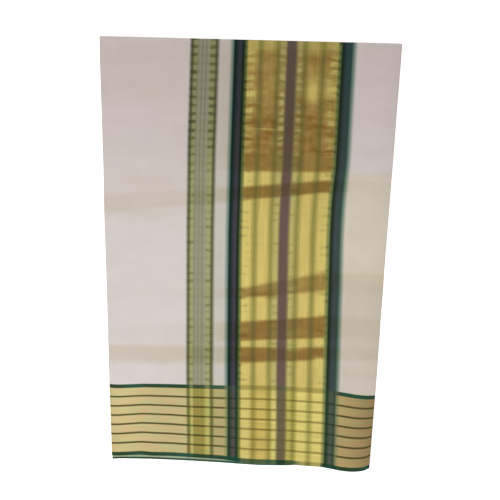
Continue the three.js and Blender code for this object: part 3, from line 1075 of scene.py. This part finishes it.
# painted shade towards the half fold, on the cotton, the cotton ladders and the dark stripes
TOP_SHADE_RANGE = (310.0, 590.0)
TOP_SHADE_TINT = (0.88, 0.84, 0.85)
DARK_STRIPES_TOP_SHADE = (0.62, 0.88, 0.90)
DYED_STRIPES = (0.36, 0.42)
LADDER_TOP_SHADE = (0.72, 0.76, 0.72)
LADDER_TOP_SHADE_RANGE = (396.0, 476.0)
# painted light: the right end is painted lighter and warmer
RIGHT_END_PAINTED_LIGHT = (1.05, 1.05, 0.965)
RIGHT_END_RANGE = (116.0, 136.0)
RIGHT_END_FROM_EDGE = (352.0, 150.0, 16.0)  # middle, width, softness


def zari_painted_shade(along, edge, crease_shade, glint, upper):
    """Painted shade on the zari: crease shade made patchy, lessened by painted glints and a painted
    highlight line.
    """
    # a painted highlight line across the gold
    pick = edge.band(*HIGHLIGHT_LINE)
    pick = pick * along.step(*HIGHLIGHT_LINE_BEGINS) * along.step(*HIGHLIGHT_LINE_ENDS, 1.0, 0.0)
    shade_mottle = streaks(along, edge, "mottle") * (crease_shade * SHADE_MOTTLE["creased"] + SHADE_MOTTLE["flat"])
    shade_mottle = shade_mottle * (upper * SHADE_MOTTLE["above"] + SHADE_MOTTLE["below"])
    painted_shade = crease_shade - glint * LIGHTENED_BY_HIGHLIGHTS["glint"] - pick * LIGHTENED_BY_HIGHLIGHTS["pick"] - shade_mottle
    return painted_shade.math("MAXIMUM", 0.0)


def painted_top_shade_and_right_light(shader, along, edge, colour, cotton, line_share, cotton_ladder):
    """Painted shade towards the half fold: the cotton greyer, the cotton ladders and the dark
    stripes darker. Painted light on the right end: lighter and warmer.
    """
    # painted shade, growing towards the half fold
    folded = edge.step(*TOP_SHADE_RANGE)
    colour = shader.tinted(colour, TOP_SHADE_TINT, folded * cotton)
    ladder_share = edge.step(*LADDER_TOP_SHADE_RANGE) * cotton_ladder
    colour = shader.tinted(colour, LADDER_TOP_SHADE, ladder_share)
    # painted light on the right end
    right_end_lit = along.step(*RIGHT_END_RANGE) * edge.band(*RIGHT_END_FROM_EDGE)
    colour = shader.tinted(colour, RIGHT_END_PAINTED_LIGHT, right_end_lit * cotton)
    dyed = line_share.step(*DYED_STRIPES, 1.0, 0.0)
    return shader.tinted(colour, DARK_STRIPES_TOP_SHADE, folded * dyed)


print("the cloth greys between", TOP_SHADE_RANGE, "mm from its selvedge")

# %% The cloth's material
MM_PER_METRE = 1000.0
WRONG_SIDE = srgb(150, 180, 156)
ZARI_HIDES_COTTON = 1.5
THIN_HIDES_ZARI = 0.5
FLOATS_RANGE = (436.0, 450.0)  # from the selvedge: above it the zari has kept its floats, and they get painted glints
BORDER_HIDES_LADDER = 0.8
LADDER_DULL = (0.26, 0.26, 0.20)
HUE_RANGE = (-0.12, 0.12)
GROUND_PEACH = (1.05, 0.97, 0.96)
GROUND_GREEN = (0.96, 1.03, 0.98)
METAL_LEVEL, SLUB_LEVEL, PATCH_LEVEL = 0.55, 0.06, 0.10
ZARI_METALLIC, METALLIC_LOST = 0.50, 0.5  # the second is lost in the depth of a crease
ZARI_ROUGHNESS = 0.44
COTTON_ROUGHNESS = 0.88
SHEEN_LEVEL = 0.25
THREAD_PITCH = 0.62
THREAD_HEIGHT = 0.00002
METAL_HEIGHT, SLUB_HEIGHT, BUMP_STRENGTH = 1.5, 2.0, 0.5


def cloth_material(name, wrong_side=0.0):
    """The woven pattern, with painted shade, painted highlights and painted light. On its wrong
    side the zari's floats don't show, and the gold is pale.
    """
    shader = Shader(name)
    weave = shader.add("UVMap", {"uv_map": "weave"})
    along, edge = (wire * MM_PER_METRE for wire in shader.split(weave, "XYZ")[:2])
    crease_shade = shader.add("Attribute", {"attribute_name": "painted_crease_shade"}, None, "Fac")

    body, _ = striped(shader, along, lambda row: srgb(*YARNS[row[YARN]][0]))
    border, _ = striped(shader, along, lambda row: srgb(*YARNS[row[YARN]][1]))
    facts, ladder = striped(shader, along, lambda row: row[FACTS:])
    zari_body, zari_border, line_share = shader.split(facts, "Color")
    in_cotton = 1 - (zari_body * ZARI_HIDES_COTTON).math("MINIMUM", 1.0)
    lines, inside = border_masks(edge)

    colour = shader.mix(inside, body, border)
    colour = shader.mix(wrong_side, colour, WRONG_SIDE)
    colour, broad = ruled(shader, along, edge, colour, zari_body, line_share, lines)
    zari = (zari_body * (1 - inside) + zari_border * inside) * (1 - wrong_side)
    zari = zari * (1 - lines[0] * THIN_HIDES_ZARI) * (1 - broad)

    upper = edge.step(*FLOATS_RANGE)
    bare = ladder * (1 - inside * BORDER_HIDES_LADDER)
    tie_share, glint = ladders(along, edge, bare, in_cotton, upper)
    colour = shader.tinted(colour, LADDER_DULL, tie_share)

    # the border's ground turns between peach and pale green, as its zari lies
    hue = streaks(along, edge, "border_hue").step(*HUE_RANGE)
    hued = shader.mix(hue, shader.tinted(colour, GROUND_PEACH), shader.tinted(colour, GROUND_GREEN))
    colour = shader.mix(inside * in_cotton * (1 - broad), colour, hued)

    # no thread is even
    metal = streaks(along, edge, "fine_zari") * (1 - inside)
    metal = metal + streaks(edge, along, "fine_border") * inside
    slub = streaks(along, edge, "slub_along") + streaks(edge, along, "slub_across")
    level = 1 + metal * zari * METAL_LEVEL + slub * (1 - zari) * SLUB_LEVEL
    level = level + streaks(along, edge, "patches") * PATCH_LEVEL
    grey = shader.add("CombineColor", None, {0: level, 1: level, 2: level})
    colour = shader.tinted(colour, grey)

    # painted shade towards the half fold, and painted light on the right end
    colour = painted_top_shade_and_right_light(shader, along, edge, colour, 1 - zari, line_share, ladder * in_cotton)
    # painted shade on the cotton in its creases, with random haze patches in it
    haze = streaks(along, edge, "haze") * HAZE_SHARE + HAZE_LEAST
    colour = shader.tinted(colour, CREAM_PAINTED_SHADE, (1 - zari) * (crease_shade + haze))
    # painted shade on the zari in its creases and dim upper part, lifted by painted glints and a
    # painted highlight line
    zari_shade = zari_painted_shade(along, edge, crease_shade, glint, upper) * zari
    colour = shader.tinted(colour, ZARI_PAINTED_SHADE, zari_shade)
    # a coppery hue in the painted shade of the upper zari
    copper = streaks(along, edge, "copper").step(*COPPER_RANGE)
    colour = shader.tinted(colour, COPPER_TINT, copper * upper * zari_shade)

    # threads over and under
    turn = 2 * math.pi / THREAD_PITCH
    checks = (edge * turn).math("SINE") * (along * turn).math("SINE")
    height = checks + metal * METAL_HEIGHT + slub * SLUB_HEIGHT
    inputs = {"Strength": BUMP_STRENGTH, "Distance": THREAD_HEIGHT, "Height": height}
    shader.surface.inputs["Specular IOR Level"].default_value = SHEEN_LEVEL
    return shader.finish(
        base_color=colour,
        metallic=zari * ZARI_METALLIC * (1 - crease_shade * METALLIC_LOST),
        roughness=COTTON_ROUGHNESS - zari * (COTTON_ROUGHNESS - ZARI_ROUGHNESS),
        normal=shader.add("Bump", None, inputs),
    )


WRONG_SIDE_SHARE = 0.72
woven = cloth_material("woven_cotton_and_zari")
reverse = cloth_material("reverse_of_the_weave", WRONG_SIDE_SHARE)
for piece, finish in ((front, woven), (back, reverse), (leaves, woven)):
    piece.data.materials.clear()
    piece.data.materials.append(finish)
    piece.select_set(False)
print("nodes in the cloth's material:", len(woven.node_tree.nodes))

# %% [markdown]
# ## Onto the part's body
#
# Each stretch of cloth rides on the part's one body and stands for the solid that it replaces,
# which is hidden.

# %% Bodies, and the hidden solids
LEAF_WIDTH_FLAT = 0.408
HALF_CLOTH = 0.60
BODY_LENGTH = 5.2
CLOTH_WIDTH = 1.2
SHEETS = [
    (front, "pallu_front", "pallu_cloth", (LEAF_WIDTH_FLAT, HALF_CLOTH), "pallu_back_cloth"),
    (back, "pallu_back", "selvedge_cloth", (LEAF_WIDTH_FLAT, HALF_CLOTH), "folded_leaves_cloth"),
    (leaves, "folded_layers", "folded_cloth", (CLOTH_WIDTH, BODY_LENGTH), "table"),
]
for piece, node_name, slot_name, flat, below in SHEETS:
    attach(piece, "root")
    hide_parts(node_name)
    print(piece.name, "stands for", node_name)
